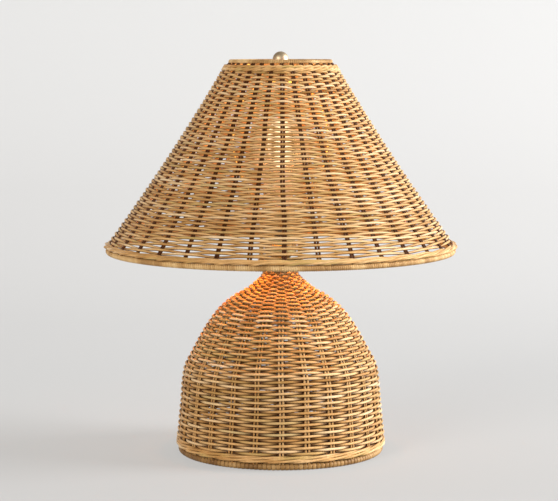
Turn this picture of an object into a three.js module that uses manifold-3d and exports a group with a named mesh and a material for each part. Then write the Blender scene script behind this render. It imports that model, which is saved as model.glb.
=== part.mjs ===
// A woven rattan table lamp: a bottle-shaped basket base, a conical basket shade,
// and between them the lamp hardware that carries the shade on a harp.
// Millimetres, +Z up, the origin under the middle of the foot, the front towards -Y.
import * as THREE from 'three';
import { mergeVertices } from 'three/addons/utils/BufferGeometryUtils.js';
import Module from 'manifold-3d';

const wasm = await Module();
wasm.setup();

// Driving dimensions.
const gap = 0.3; // between pieces that touch
const running = 0.4; // round a piece that turns or slides in another
const roundSides = 40; // facets round the baskets and their hoops
const smallSides = 16; // facets round the small turned pieces

const footRadius = 123; // woven base where it meets its foot
const footHoop = 8; // thickness of the wrapped hoop that the base stands on
const footInset = 2.7; // how far the wrapped hoop sits inside the weave above it
const shoulderRadius = 114.3;
const shoulderHeight = 98;
const neckRadius = 19.8;
const baseHeight = 218;
const weaveWall = 6.5; // paired stakes and the weavers that pass in front of them

const shadeHeight = 224.4; // from the bottom of the lower rim to the top of the upper rim
const shadeRadius = 204.6;
const shadeTopRadius = 67.7;
const shadeWaist = 6.9; // how far the control point of the hollow side lies inside its chord
const lowerRim = 7;
const upperRim = 5.7;
const lowerRimInset = 0.9;
const upperRimInset = 6;
const bandHeight = 8; // twined band under the upper rim and over the lower one

const pipeRadius = 4.8;
const pipeBore = 3.2;
const boardThickness = 9;
const boardClearance = 0.5; // between the board and the foot hoop round it
const feltThickness = 1.1;
const feltInset = 3.5;
const standOff = 0.6; // height of the felt over the table
const weightRadius = 70;
const weightThickness = 14;
const nutAcross = 16;
const nutThickness = 4.4;
const washerRadius = 11;
const washerThickness = 0.9;
const capRadius = 20.5;
const capThickness = 4.7;

const socketHeight = 62;
const socketRadius = 17.3;
const sheet = 0.8; // brass sheet of the socket and the bulb base
const linerThickness = 1;
const socketCapHeight = 18;
const interiorHeight = 20;
const switchHeight = 33; // of the switch stem over the saddle
const stemRadius = 3;
const stemReach = 10; // of the knob's end of the stem past the socket
const stemSeat = 9; // how deep the stem sits in the interior
const knobRadius = 8;
const knobLength = 14;
const knobFlutes = 12;

const bulbBaseRadius = 13.1;
const bulbBaseHeight = 24;
const bulbContactHeight = 3;
const bulbLength = 127;
const bulbRadius = 33.5;
const bulbGlass = 1;

const sleeveClearance = 0.8; // between each harp sleeve and the socket
const saddleWidth = 14;
const saddleThickness = 2;
const prongHeight = 10;
const harpHeight = 208; // from the saddle to the middle of the wire at the top
const harpHalfWidth = 56;
const harpWire = 1.8; // radius of the harp's wire
const harpLeg = 32; // straight stretch that each sleeve slides on
const sleeveLength = 18;
const sleeveWall = 1;
const bushRadius = 6;
const bushHeight = 12;
const studPin = 2.2;
const studSeatRadius = 8;
const studThread = 3.1;
const studLength = 12;

const spiderWasherRadius = 12;
const spiderWasherThickness = 1.8;
const spiderWire = 1.6;
const spiderArms = 3;
const shadeDrop = 12; // of the spider washer under the top of the shade
const finialBall = 9.2;
const finialHeight = 20.8;
const finialNeck = 4.9;

const bushingHeight = 30; // of the cord bushing over the table
const bushingBore = 4.5;
const bushingWall = 1.6;
const bushingFlange = 9;

// Heights and radii that follow from them.
const base0 = footHoop + gap;
const footCentre = footRadius - footInset - footHoop / 2;
const felt0 = standOff;
const board0 = felt0 + feltThickness + gap;
const board1 = board0 + boardThickness;
const boardRadius = footCentre - footHoop / 2 - boardClearance;
const neckCap0 = baseHeight + gap;
const saddle0 = neckCap0 + capThickness + gap;
const saddle1 = saddle0 + saddleThickness;
const socket0 = saddle1 + gap;
const interior0 = socket0 + socketCapHeight - 2;
const interior1 = interior0 + interiorHeight;
const contactTop = interior1 + gap + 1.5;
const bulb0 = contactTop + gap;
const harpTop = saddle1 + harpHeight;
const bush1 = harpTop + bushHeight - 3.5;
const seat0 = bush1 + gap;
const seat1 = seat0 + 2;
const spider0 = seat1 + gap;
const spider1 = spider0 + spiderWasherThickness;
const shadeTop = spider1 + shadeDrop;
const shadeBottom = shadeTop - shadeHeight;
const finial0 = spider1 + gap;
const throughHole = pipeRadius + running;
const socketRim = socketRadius + running + sheet;
const sleeveRadius = harpWire + running + sleeveWall;
const saddleReach = socketRim + sleeveClearance + sleeveRadius;

// Finishes.
const finish = (color, roughness, metalness = 0) => (
  new THREE.MeshStandardMaterial({ color, roughness, metalness }));
const rattan = finish(0xb98a55, 0.65);
const peel = finish(0xb2824b, 0.5);
const hoopSteel = finish(0x6f7276, 0.5, 0.9);
const brass = finish(0xb39a5e, 0.35, 1);
const steel = finish(0x9b9da0, 0.4, 1);
const iron = finish(0x3b3b3d, 0.8, 0.6);
const plywood = finish(0xc29d6b, 0.75);
const feltCloth = finish(0x2c2a27, 0.95);
const phenolic = finish(0x1d1a18, 0.45);
const fibre = finish(0xcfc4ae, 0.85);
const frosted = finish(0xf4efe4, 0.3);
const blackPlastic = finish(0x242221, 0.4);

const lamp = new THREE.Group();

function place(name, geometry, material) {
  const mesh = new THREE.Mesh(geometry, material);
  mesh.name = name;
  lamp.add(mesh);
  return mesh;
}

// A turned piece from a profile of [radius, height] pairs, up the outside and back down inside.
function turned(profile, sides = smallSides) {
  const points = profile.map(([radius, height]) => new THREE.Vector2(radius, height));
  const closes = profile[0][0] > 0 || profile[profile.length - 1][0] > 0;
  if (closes) points.push(points[0].clone());
  return new THREE.LatheGeometry(points, sides).rotateX(Math.PI / 2);
}

// A plain tube, or a disc where the inner radius is 0.
function ring(outer, inner, low, high, sides = smallSides) {
  return turned([[inner, low], [outer, low], [outer, high], [inner, high]], sides);
}

function disc(radius, low, high, sides = smallSides) {
  return turned([[0, low], [radius, low], [radius, high], [0, high]], sides);
}

function solid(geometry) {
  const bare = geometry.clone();
  bare.deleteAttribute('normal');
  bare.deleteAttribute('uv');
  const welded = mergeVertices(bare, 1e-4);
  return new wasm.Manifold(new wasm.Mesh({
    numProp: 3,
    vertProperties: welded.attributes.position.array,
    triVerts: Uint32Array.from(welded.index.array),
  }));
}

function geometryOf(body) {
  const mesh = body.getMesh();
  const geometry = new THREE.BufferGeometry();
  geometry.setAttribute('position', new THREE.BufferAttribute(mesh.vertProperties, 3));
  geometry.setIndex(new THREE.BufferAttribute(mesh.triVerts, 1));
  return geometry;
}

function cut(geometry, ...tools) {
  return geometryOf(tools.reduce((body, tool) => body.subtract(solid(tool)), solid(geometry)));
}

function joined(geometry, ...others) {
  return geometryOf(others.reduce((body, other) => body.add(solid(other)), solid(geometry)));
}

// A rod along the front-to-back axis between two values of y.
function crossRod(radius, from, to, height, sides = smallSides) {
  return disc(radius, 0, to - from, sides).rotateX(-Math.PI / 2).translate(0, from, height);
}

// A round wire of the given radius along a curve.
function wireAlong(path, radius, steps, sides = 8) {
  const section = new THREE.Shape();
  section.absarc(0, 0, radius, 0, 2 * Math.PI);
  const settings = { extrudePath: path, steps, curveSegments: sides / 2, bevelEnabled: false };
  return new THREE.ExtrudeGeometry(section, settings);
}

// A basket wall: the outline of its outside, with the inside one wall thickness behind it.
function basket(outline) {
  const inside = outline.map((point, i) => {
    const before = outline[Math.max(i - 1, 0)];
    const after = outline[Math.min(i + 1, outline.length - 1)];
    const isEnd = i === 0 || i === outline.length - 1;
    const along = new THREE.Vector2(after.x - before.x, isEnd ? 1 : after.y - before.y);
    if (isEnd) along.x = 0;
    along.normalize();
    return [point.x - weaveWall * along.y, point.y + weaveWall * along.x];
  });
  const outside = outline.map((point) => [point.x, point.y]);
  return turned([...outside, ...inside.reverse()], roundSides);
}

// A hoop of round rod, and the peel wrapped round it, open on one side where the stakes enter.
function addHoop(name, centre, height, thickness, openTowards) {
  const outer = thickness / 2;
  const inner = outer - 1.3;
  const core = inner - gap;
  const at = (radius, angle) => [
    centre + radius * Math.cos(angle),
    height + radius * Math.sin(angle),
  ];
  const coreProfile = [];
  for (let i = 0; i < 6; i += 1) {
    coreProfile.push(at(core, i * Math.PI / 3));
  }
  place(`${name}_hoop`, turned(coreProfile, roundSides), hoopSteel);
  const outside = [];
  const inside = [];
  for (let i = 0; i < 7; i += 1) {
    const angle = openTowards + Math.PI / 8 + i * Math.PI / 4;
    outside.push(at(outer / Math.cos(Math.PI / 8), angle));
    inside.push(at(inner / Math.cos(Math.PI / 8), angle));
  }
  // The eighth side is the slot, so the first and last corners are where it opens.
  outside.push(at(outer / Math.cos(Math.PI / 8), openTowards - Math.PI / 8));
  inside.push(at(inner / Math.cos(Math.PI / 8), openTowards - Math.PI / 8));
  place(`${name}_binding`, turned([...outside, ...inside.reverse()], roundSides), peel);
}

// Base: the woven bottle, its foot, and the board and weight that close it.
function baseOutline() {
  const rise = baseHeight - shoulderHeight;
  const width = shoulderRadius - neckRadius;
  // Shares of the rise and of the width from the shoulder to the neck.
  const dome = [[0.175, 0.9], [0.41, 0.735], [0.583, 0.572], [0.7, 0.4], [0.767, 0.256],
    [0.833, 0.139], [0.917, 0.03], [1, 0]];
  const points = [new THREE.Vector2(footRadius, base0)];
  points.push(new THREE.Vector2(footRadius - 1, base0 + 14));
  points.push(new THREE.Vector2((footRadius + shoulderRadius) / 2 - 0.2, shoulderHeight / 2 + 9));
  points.push(new THREE.Vector2(shoulderRadius, shoulderHeight));
  for (const [up, out] of dome) {
    points.push(new THREE.Vector2(neckRadius + width * out, shoulderHeight + rise * up));
  }
  return points;
}

function addBase() {
  const hole = crossRod(
    bushingBore + bushingWall + gap, shoulderRadius - 25, footRadius + 10, bushingHeight);
  place('base_weave', cut(basket(baseOutline()), hole), rattan);
  addHoop('base_foot', footCentre, footHoop / 2, footHoop, Math.PI / 2);
  place('base_felt', disc(boardRadius - feltInset, felt0, felt0 + feltThickness, roundSides),
    feltCloth);
  const recess = nutThickness + washerThickness + 2 * gap;
  const board = [[throughHole, board0 + recess], [washerRadius + 1, board0 + recess],
    [washerRadius + 1, board0], [boardRadius, board0], [boardRadius, board1],
    [throughHole, board1]];
  place('base_board', turned(board, roundSides), plywood);
  const weight0 = board1 + gap;
  const weight1 = weight0 + weightThickness;
  place('base_weight', ring(weightRadius, throughHole, weight0, weight1, 24), iron);
  const washer0 = board0 + recess - gap - washerThickness;
  place('pipe_washer', ring(washerRadius, throughHole, washer0, washer0 + washerThickness), steel);
  addNut('pipe_nut_lower', washer0 - gap - nutThickness);
  addNut('pipe_nut_upper', weight1 + gap);
  place('lamp_pipe', ring(pipeRadius, pipeBore, board0, socket0 + 9), steel);
  const rim = capThickness - 1.5;
  const cap = [[throughHole, neckCap0], [capRadius - 1, neckCap0], [capRadius, neckCap0 + 1],
    [capRadius, neckCap0 + rim], [capRadius - 3, neckCap0 + capThickness],
    [throughHole, neckCap0 + capThickness]];
  place('neck_cap', turned(cap, 24), brass);
}

function addNut(name, low) {
  const hexagon = disc(nutAcross / Math.sqrt(3), low, low + nutThickness, 6);
  const bore = disc(throughHole, low - 1, low + nutThickness + 1);
  place(name, cut(hexagon, bore), steel);
}

// The cord's way out of the base, a flanged bushing in the back of the weave.
function addBushing() {
  const outer = bushingBore + bushingWall;
  const wallAt = footRadius - 1.5;
  const inner0 = wallAt - weaveWall - 4;
  const profile = [[bushingBore, inner0], [outer, inner0], [outer, wallAt + 1],
    [bushingFlange, wallAt + 1], [bushingFlange, wallAt + 2.5], [bushingBore, wallAt + 3]];
  const bushing = turned(profile).rotateX(-Math.PI / 2).translate(0, 0, bushingHeight);
  place('rear_cord_bushing', bushing, blackPlastic);
}

// Saddle: the strip under the socket, with a prong at each end that a harp leg stands on.
function addSaddle() {
  const strip = new THREE.BoxGeometry(
    2 * (saddleReach + 4), saddleWidth, saddleThickness);
  strip.translate(0, 0, saddle0 + saddleThickness / 2);
  const prongs = [-1, 1].map((side) => (
    disc(harpWire, saddle0 + 0.5, saddle1 + prongHeight, 8).translate(side * saddleReach, 0, 0)));
  const hole = disc(throughHole, saddle0 - 1, saddle1 + 1);
  place('harp_saddle', cut(joined(strip, ...prongs), hole), brass);
}

// Socket: cap, shell, fibre liner, the switch interior, and the threaded shell for the bulb.
function addSocket() {
  const capTop = socket0 + socketCapHeight;
  const capProfile = [[throughHole, socket0], [9, socket0], [socketRim, socket0 + 9],
    [socketRim, capTop], [socketRim - sheet, capTop], [socketRim - sheet, socket0 + 9.6],
    [8.6, socket0 + sheet], [throughHole, socket0 + sheet]];
  place('socket_cap', turned(capProfile, 24), brass);
  const stemAt = saddle1 + switchHeight;
  const stemHole = crossRod(
    stemRadius + running, -(socketRadius + 4), -8, stemAt, 12);
  const shellLow = capTop - 6;
  const shell = ring(socketRadius, socketRadius - sheet, shellLow, socket0 + socketHeight, 24);
  place('socket_shell', cut(shell, stemHole), brass);
  const linerOuter = socketRadius - sheet - gap;
  const linerInner = linerOuter - linerThickness;
  const liner = ring(linerOuter, linerInner, shellLow, socket0 + socketHeight - 3, 24);
  place('socket_liner', cut(liner, stemHole), fibre);
  const interiorRadius = linerInner - gap;
  const seat = crossRod(
    stemRadius + running, -(socketRadius + 1), -(interiorRadius - stemSeat), stemAt, 12);
  place('socket_interior', cut(disc(interiorRadius, interior0, interior1, 24), seat), phenolic);
  const threadInner = bulbBaseRadius + running;
  const threadLow = interior1 + gap;
  place('socket_screw_shell',
    ring(threadInner + sheet, threadInner, threadLow, threadLow + bulbBaseHeight, 24), brass);
  place('socket_centre_contact', disc(4.5, threadLow, contactTop), brass);
  const stemEnd = -(socketRadius + stemReach);
  place('switch_stem',
    crossRod(stemRadius, stemEnd, -(interiorRadius - stemSeat + gap), stemAt, 12), steel);
  const outline = new THREE.Shape();
  for (let i = 0; i < 2 * knobFlutes; i += 1) {
    const radius = knobRadius - (i % 2);
    const angle = i * Math.PI / knobFlutes;
    outline.lineTo(radius * Math.cos(angle), radius * Math.sin(angle));
  }
  const knobBack = -(socketRadius + 3);
  const knob = new THREE.ExtrudeGeometry(outline, { depth: knobLength, bevelEnabled: false });
  knob.rotateX(Math.PI / 2).translate(0, knobBack, stemAt);
  const bore = crossRod(stemRadius + gap, stemEnd - gap, knobBack + 1, stemAt, 12);
  place('switch_knob', cut(knob, bore), blackPlastic);
}

// Bulb: a frosted globe on its threaded base, with the contact at the tip.
function addBulb() {
  const tip = bulb0 + bulbContactHeight;
  const shellTop = tip + bulbBaseHeight;
  place('bulb_contact', turned([[0, bulb0], [3, bulb0], [4.6, tip - gap], [0, tip - gap]]), brass);
  const threads = bulbBaseRadius;
  place('bulb_screw_base', turned([[0, tip], [threads - 3, tip], [threads, tip + 3],
    [threads, shellTop], [threads - sheet, shellTop], [threads - sheet, tip + 3 + sheet / 2],
    [threads - 3 - sheet / 2, tip + sheet], [0, tip + sheet]], 24), steel);
  const top = bulb0 + bulbLength;
  const middle = top - bulbRadius;
  const glassFoot = shellTop + gap;
  // The outline of the glass, moved in by its own thickness for the inside.
  const outline = (inset) => {
    const points = [[threads - 0.4 - inset, glassFoot], [threads + 1.4 - inset, glassFoot + 8],
      [bulbRadius * 0.72 - inset, middle - bulbRadius * 0.92],
      [bulbRadius * 0.92 - inset, middle - bulbRadius * 0.46]];
    const steps = 7;
    for (let i = 0; i <= steps; i += 1) {
      const angle = i * Math.PI / 2 / steps;
      const across = (bulbRadius - inset) * Math.cos(angle);
      const up = middle + (bulbRadius - inset) * Math.sin(angle);
      points.push([i < steps ? across : 0, up]);
    }
    return points;
  };
  const globe = [...outline(0), ...outline(bulbGlass).reverse()];
  place('bulb_globe', turned(globe, 24), frosted);
}

// Harp: the wire loop that stands on the saddle and carries the stud over the bulb.
function addHarp() {
  const foot = saddle1 + prongHeight + gap;
  const bowAt = foot + harpLeg;
  const widest = (bowAt + harpTop) / 2 + 14;
  const flat = bushRadius + 3;
  const points = (side) => [
    [saddleReach, foot], [saddleReach, bowAt],
    [saddleReach, bowAt + 28], [harpHalfWidth, widest - 46], [harpHalfWidth, widest],
    [harpHalfWidth, widest + 44], [32, harpTop], [flat, harpTop],
  ].map(([x, z]) => new THREE.Vector3(side * x, 0, z));
  const left = points(-1);
  const right = points(1).reverse();
  const path = new THREE.CurvePath();
  path.add(new THREE.LineCurve3(left[0], left[1]));
  path.add(new THREE.CubicBezierCurve3(...left.slice(1, 5)));
  path.add(new THREE.CubicBezierCurve3(...left.slice(4)));
  path.add(new THREE.LineCurve3(left[7], right[0]));
  path.add(new THREE.CubicBezierCurve3(...right.slice(0, 4)));
  path.add(new THREE.CubicBezierCurve3(...right.slice(3, 7)));
  path.add(new THREE.LineCurve3(right[6], right[7]));
  place('harp_wire', wireAlong(path, harpWire, 56), brass);
  for (const [name, side] of [['harp_sleeve_left', -1], ['harp_sleeve_right', 1]]) {
    const low = saddle1 + gap;
    const sleeve = ring(sleeveRadius, harpWire + running, low, low + sleeveLength, 12);
    place(name, sleeve.translate(side * saddleReach, 0, 0), brass);
  }
  const bush = disc(bushRadius, harpTop - 3.5, bush1);
  const wireHole = disc(harpWire + gap, -bushRadius - 2, bushRadius + 2, 8);
  wireHole.rotateY(Math.PI / 2).translate(0, 0, harpTop);
  const pinHole = disc(studPin + running, bush1 - 4.2, bush1 + 1, 12);
  place('harp_bush', cut(bush, wireHole, pinHole), brass);
  const stud = [[0, bush1 - 4], [studPin, bush1 - 4], [studPin, seat0], [studSeatRadius, seat0],
    [studSeatRadius, seat1], [studThread, seat1], [studThread, seat1 + studLength],
    [0, seat1 + studLength]];
  place('harp_stud', turned(stud), brass);
}

// Shade: the woven cone between its two wrapped rims.
function addShade() {
  const low = shadeBottom + lowerRim + gap;
  const high = shadeTop - upperRim - gap;
  const wallLow = low + bandHeight;
  const wallHigh = high - bandHeight / 2;
  const foot = shadeRadius - 5.5;
  const side = new THREE.QuadraticBezierCurve(
    new THREE.Vector2(foot, wallLow),
    new THREE.Vector2((foot + shadeTopRadius) / 2 - shadeWaist, (wallLow + wallHigh) / 2),
    new THREE.Vector2(shadeTopRadius, wallHigh));
  const outline = [new THREE.Vector2(shadeRadius, low), ...side.getPoints(6)];
  outline.push(new THREE.Vector2(shadeTopRadius - 3.2, high));
  place('shade_weave', basket(outline), rattan);
  addHoop('shade_bottom', shadeRadius - lowerRimInset - lowerRim / 2,
    shadeBottom + lowerRim / 2, lowerRim, Math.PI / 2);
  const upperCentre = shadeTopRadius - upperRimInset - upperRim / 2 - 1.2;
  addHoop('shade_top', upperCentre, shadeTop - upperRim / 2, upperRim, -Math.PI / 2);
  addSpider(upperCentre - upperRim / 2 - gap);
}

// Spider: a washer that sits on the stud, and three arms out to the upper rim.
function addSpider(reach) {
  const hole = studThread + running;
  place('spider_washer', ring(spiderWasherRadius, hole, spider0, spider1), brass);
  const armHigh = shadeTop - upperRim / 2;
  const armLow = (spider0 + spider1) / 2;
  for (let i = 0; i < spiderArms; i += 1) {
    const turn = Math.PI / 2 + i * 2 * Math.PI / spiderArms;
    const path = new THREE.CubicBezierCurve3(
      new THREE.Vector3(spiderWasherRadius + gap, 0, armLow),
      new THREE.Vector3(spiderWasherRadius + 14, 0, armLow),
      new THREE.Vector3(reach - 14, 0, armHigh),
      new THREE.Vector3(reach, 0, armHigh));
    place(`spider_arm_${i + 1}`, wireAlong(path, spiderWire, 8).rotateZ(turn), brass);
  }
}

// Finial: the turned ball that screws down on the stud and holds the shade.
function addFinial() {
  const middle = finial0 + finialHeight - finialBall;
  const bore = studThread + running;
  const boreTop = seat1 + studLength + gap;
  const profile = [[bore, finial0], [finialNeck + 1.6, finial0], [finialNeck + 1.6, finial0 + 1.6]];
  const start = -Math.acos(finialNeck / finialBall);
  const steps = 8;
  for (let i = 0; i < steps; i += 1) {
    const angle = start + i * (Math.PI / 2 - start) / steps;
    profile.push([finialBall * Math.cos(angle), middle + finialBall * Math.sin(angle)]);
  }
  profile.push([0, middle + finialBall], [0, boreTop], [bore, boreTop]);
  place('finial', turned(profile), brass);
}

addBase();
addBushing();
addSaddle();
addSocket();
addBulb();
addHarp();
addShade();
addFinial();

export default lamp;
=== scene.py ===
import math
import random

import bmesh
import bpy
import numpy as np
from mathutils import Matrix, Vector


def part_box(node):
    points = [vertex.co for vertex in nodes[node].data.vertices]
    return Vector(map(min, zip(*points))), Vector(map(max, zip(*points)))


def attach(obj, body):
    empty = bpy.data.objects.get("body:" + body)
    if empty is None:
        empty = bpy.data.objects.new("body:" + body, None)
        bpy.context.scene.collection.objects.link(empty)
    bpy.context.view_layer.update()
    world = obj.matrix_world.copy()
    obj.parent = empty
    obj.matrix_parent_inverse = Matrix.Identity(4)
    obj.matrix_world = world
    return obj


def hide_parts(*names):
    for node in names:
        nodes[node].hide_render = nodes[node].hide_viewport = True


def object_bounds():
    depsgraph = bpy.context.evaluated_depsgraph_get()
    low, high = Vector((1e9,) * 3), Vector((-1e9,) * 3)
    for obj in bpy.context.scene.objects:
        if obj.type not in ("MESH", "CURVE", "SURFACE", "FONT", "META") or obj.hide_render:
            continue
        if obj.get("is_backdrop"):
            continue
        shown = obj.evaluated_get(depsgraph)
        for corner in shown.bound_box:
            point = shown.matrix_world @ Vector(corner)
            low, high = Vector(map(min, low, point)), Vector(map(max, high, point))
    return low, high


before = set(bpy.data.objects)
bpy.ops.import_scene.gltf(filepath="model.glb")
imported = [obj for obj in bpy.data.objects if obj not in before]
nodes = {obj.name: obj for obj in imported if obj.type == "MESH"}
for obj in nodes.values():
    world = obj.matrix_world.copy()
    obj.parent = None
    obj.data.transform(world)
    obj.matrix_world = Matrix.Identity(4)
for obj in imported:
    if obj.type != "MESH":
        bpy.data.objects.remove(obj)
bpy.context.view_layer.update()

# ---------------------------------------------------------------- Foot hoop
# The lamp stands on a steel hoop wound with flat rattan peel.
# Each turn of peel is its own domed strip, pulled tight against the last one.


def node_group(name, inputs, outputs):
    """An empty shader group with float, colour or vector sockets."""
    group = bpy.data.node_groups.new(name, "ShaderNodeTree")
    for label, kind, start in inputs:
        socket = group.interface.new_socket(label, in_out="INPUT", socket_type=kind)
        if start is not None:
            socket.default_value = start
    for label, kind in outputs:
        group.interface.new_socket(label, in_out="OUTPUT", socket_type=kind)
    return group


def add(tree, kind, settings=None, **inputs):
    """A node with its settings, and its inputs given as values or as the sockets that feed them.

    An input is called by its name, with _ for a space, or by i and its number.
    """
    node = tree.nodes.new(kind)
    for key, value in (settings or {}).items():
        setattr(node, key, value)
    for key, value in inputs.items():
        name = key.replace("_", " ")
        socket = node.inputs[int(key[1:])] if key[1:].isdigit() and key[0] == "i" else node.inputs[name]
        if isinstance(value, bpy.types.NodeSocket):
            tree.links.new(value, socket)
        else:
            socket.default_value = value
    return node


def ramp(tree, factor, stops):
    """A colour ramp through (place, colour) stops."""
    node = add(tree, "ShaderNodeValToRGB", i0=factor)
    band = node.color_ramp
    while len(band.elements) < len(stops):
        band.elements.new(0.5)
    for element, (place, colour) in zip(band.elements, stops):
        element.position = place
        element.color = (*colour, 1)
    return node.outputs["Color"]


def maths(tree, operation, a, b=0.0):
    """The result of one sum on values or sockets."""
    return add(tree, "ShaderNodeMath", {"operation": operation}, i0=a, i1=b).outputs[0]


def blended(tree, a, share_a, b, share_b):
    """The sum of two values, each by its share."""
    return maths(tree, "ADD", maths(tree, "MULTIPLY", a, share_a), maths(tree, "MULTIPLY", b, share_b))


def own_place(tree):
    """The piece's own coordinates, in metres from the foot of the lamp."""
    return add(tree, "ShaderNodeTexCoord").outputs["Object"]


def stretch(tree, vector, scale):
    """The same coordinates, stretched by three factors."""
    node = add(tree, "ShaderNodeMapping", Vector=vector)
    node.inputs["Scale"].default_value = scale
    return node.outputs[0]


def noise(tree, vector, scale, detail=2.0, rough=0.5):
    """Soft noise on those coordinates, from 0 to 1."""
    node = add(tree, "ShaderNodeTexNoise", Vector=vector, Scale=scale, Detail=detail)
    node.inputs["Roughness"].default_value = rough
    return node.outputs["Fac"]


def cane_fibres():
    """Long fine fibres and scattered pores, in coordinates whose X runs along the cane."""
    tree = node_group(
        "cane fibres",
        [("Along", "NodeSocketVector", None), ("Depth", "NodeSocketFloat", 1.0)],
        [("Shade", "NodeSocketFloat"), ("Height", "NodeSocketFloat")])
    source = tree.nodes.new("NodeGroupInput")
    result = tree.nodes.new("NodeGroupOutput")
    fibres = noise(tree, stretch(tree, source.outputs["Along"], (90, 1900, 1900)), 1.0, 3.0, 0.6)
    pores = noise(tree, stretch(tree, source.outputs["Along"], (330, 1500, 1500)), 1.0, 1.0)
    dots = add(tree, "ShaderNodeMapRange", Value=pores, **{
        "From_Min": 0.62, "From_Max": 0.70, "To_Min": 0.0, "To_Max": 1.0}).outputs[0]
    shade = maths(tree, "SUBTRACT", fibres, maths(tree, "MULTIPLY", dots, 0.35))
    tree.links.new(shade, result.inputs["Shade"])
    tree.links.new(maths(tree, "MULTIPLY", shade, source.outputs["Depth"]), result.inputs["Height"])
    return tree


fibres_group = cane_fibres()


def material(name):
    """A new material, with its node tree and its Principled shader."""
    made = bpy.data.materials.new(name)
    made.use_nodes = True
    tree = made.node_tree
    return made, tree, tree.nodes["Principled BSDF"]


def grain(tree, along, depth=1.0):
    """The cane fibres on the given coordinates: their shade and their height."""
    node = tree.nodes.new("ShaderNodeGroup")
    node.node_tree = fibres_group
    tree.links.new(along, node.inputs["Along"])
    node.inputs["Depth"].default_value = depth
    return node.outputs["Shade"], node.outputs["Height"]


def bump(tree, shader, height, strength, distance):
    """A fine relief on the shader, from a height."""
    node = add(tree, "ShaderNodeBump", Height=height, Strength=strength, Distance=distance)
    tree.links.new(node.outputs[0], shader.inputs["Normal"])


def mix(tree, factor, a, b):
    """Colour a turned into colour b by the factor."""
    node = tree.nodes.new("ShaderNodeMix")
    node.data_type = "RGBA"
    for index, value in ((0, factor), (6, a), (7, b)):
        if isinstance(value, bpy.types.NodeSocket):
            tree.links.new(value, node.inputs[index])
        else:
            node.inputs[index].default_value = value if index == 0 else (*value, 1)
    return node.outputs[2]


def peel_material(name, tones):
    """Flat rattan peel: satin, each turn its own tone, darker where two turns meet."""
    made, tree, shader = material(name)
    tone = add(tree, "ShaderNodeAttribute", {"attribute_name": "turn_tone"}).outputs["Fac"]
    place = own_place(tree)
    patch = noise(tree, place, 60, 3)
    blend = blended(tree, tone, 0.65, patch, 0.35)
    colour = ramp(tree, blend, tones)
    shade, height = grain(tree, stretch(tree, place, (0.25, 0.25, 0.05)), 0.6)
    streaked = mix(tree, maths(tree, "MULTIPLY", shade, 0.35), colour, (0.27, 0.15, 0.06))
    tree.links.new(streaked, shader.inputs["Base Color"])
    tree.links.new(maths(tree, "ADD", maths(tree, "MULTIPLY", shade, 0.2), 0.40), shader.inputs["Roughness"])
    shader.inputs["Specular IOR Level"].default_value = 0.25
    shader.inputs["Specular Tint"].default_value = (1.0, 0.82, 0.60, 1)
    bump(tree, shader, height, 0.35, 0.0002)
    return made


foot_peel = peel_material("broad rattan peel", [
    (0.15, (0.12, 0.052, 0.014)), (0.40, (0.23, 0.120, 0.037)),
    (0.62, (0.33, 0.185, 0.066)), (0.90, (0.48, 0.300, 0.125))])


def place_object(name, data):
    """A new object in the scene, unturned at the origin."""
    made = bpy.data.objects.new(name, data)
    bpy.context.scene.collection.objects.link(made)
    return made


def finish_piece(name, mesh, body, slot, *stands_for):
    """The mesh as a piece that rides on a body and stands for those nodes."""
    piece = place_object(name, mesh)
    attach(piece, body)
    if stands_for:
        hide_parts(*stands_for)


def vertices(parts):
    """Only the vertices of what a bmesh operator gave back."""
    return [part for part in parts if isinstance(part, bmesh.types.BMVert)]


def finished_mesh(name, work, finish, angle):
    """The work as a mesh in that finish, smooth but for corners sharper than angle degrees."""
    mesh = bpy.data.meshes.new(name)
    work.to_mesh(mesh)
    work.free()
    mesh.polygons.foreach_set("use_smooth", [True] * len(mesh.polygons))
    mesh.set_sharp_from_angle(angle=math.radians(angle))
    mesh.materials.append(finish)
    return mesh


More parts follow.
